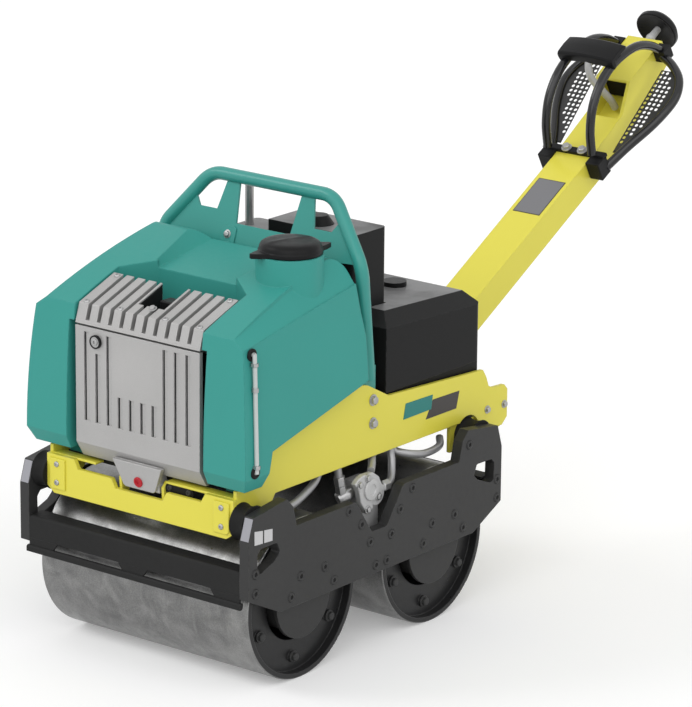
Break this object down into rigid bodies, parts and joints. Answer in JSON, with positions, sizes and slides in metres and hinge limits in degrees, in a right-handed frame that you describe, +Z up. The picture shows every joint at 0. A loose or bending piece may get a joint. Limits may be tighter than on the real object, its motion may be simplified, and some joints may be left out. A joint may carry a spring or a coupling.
{
  "type": "walk-behind double-drum roller",
  "caption": "Walk-behind roller with two smooth steel drums in a plate frame, a saddle water tank, a lifting hoop and a hinged drawbar with bow handles.",
  "frame": {"origin": "on the ground under the middle of the overall length and width", "axes": "+X forward, away from the drawbar; +Y to the machine's left; +Z up"},
  "size_m": [2.1862, 0.716, 1.2751],
  "materials": {
    "frame_yellow": "satin paint",
    "tank_teal": "moulded, slightly textured",
    "hoop_teal": "satin paint",
    "cast_aluminium": "sand cast, light grey",
    "drum_steel": "worn, scuffed rolling surface",
    "steel_dark": "satin black paint",
    "engine_dark": "matt dark grey",
    "strip_dark": "matt",
    "rubber_black": "matt",
    "plastic_black": "fine grain",
    "tube_clear": "milky clear tube",
    "steel_bright": "zinc plated",
    "plug_red": "glossy"
  },
  "bodies": {
    "chassis": {"front_axle_left": "steel_dark", "front_axle_right": "steel_dark", "rear_axle_left": "steel_dark", "rear_axle_right": "steel_dark", "side_plate_left": "steel_dark", "side_plate_right": "steel_dark", "front_scraper_beam": "steel_dark", "rear_scraper_beam": "steel_dark", "front_scraper_strip": "strip_dark", "rear_scraper_strip": "strip_dark", "cross_tube": "steel_dark", "front_mount_left": "rubber_black", "front_mount_right": "rubber_black", "rear_mount_left": "rubber_black", "rear_mount_right": "rubber_black", "upper_side_plate_left": "frame_yellow", "upper_side_plate_right": "frame_yellow", "bumper_beam": "frame_yellow", "cover_hinge_pin": "steel_bright", "engine_bed": "steel_dark", "engine_block": "engine_dark", "rear_beam": "frame_yellow", "water_tank": "tank_teal", "filler_cap": "plastic_black", "level_tube": "tube_clear", "slatted_hood": "cast_aluminium", "lifting_hoop": "hoop_teal", "hoop_panel": "hoop_teal", "rear_housing": "steel_dark", "rear_box": "steel_dark", "rear_box_cap": "plastic_black", "housing_dome": "plastic_black", "exhaust_post": "steel_bright", "drive_motor": "steel_bright", "drawbar_pin": "steel_bright"},
    "front_drum": {"front_drum": "drum_steel"},
    "rear_drum": {"rear_drum": "drum_steel"},
    "drawbar": {"drawbar": "frame_yellow", "control_head": "frame_yellow", "handle_bow_left": "steel_dark", "handle_bow_right": "steel_dark", "guard_left": "steel_dark", "guard_right": "steel_dark", "lower_clamp": "plastic_black", "upper_clamp_left": "plastic_black", "upper_clamp_right": "plastic_black", "travel_lever": "steel_bright", "lever_grip": "plastic_black", "stop_knob": "plastic_black"},
    "front_cover": {"front_cover": "cast_aluminium", "cover_lock": "steel_bright", "tab_plug": "plug_red"}
  },
  "joints": [
    {"name": "front_drum_spin", "type": "hinge", "parent": "chassis", "child": "front_drum", "pos_m": [0.85307, 0, 0.2], "axis": [0, 1, 0], "continuous": true},
    {"name": "rear_drum_spin", "type": "hinge", "parent": "chassis", "child": "rear_drum", "pos_m": [0.34507, 0, 0.2], "axis": [0, 1, 0], "continuous": true},
    {"name": "drawbar_lift", "type": "hinge", "parent": "chassis", "child": "drawbar", "pos_m": [0.03907, 0, 0.493], "axis": [0, 1, 0], "range_deg": [0, 55]},
    {"name": "front_cover_open", "type": "hinge", "parent": "chassis", "child": "front_cover", "pos_m": [1.04107, 0, 0.468], "axis": [0, 1, 0], "range_deg": [0, 75]}
  ]
}
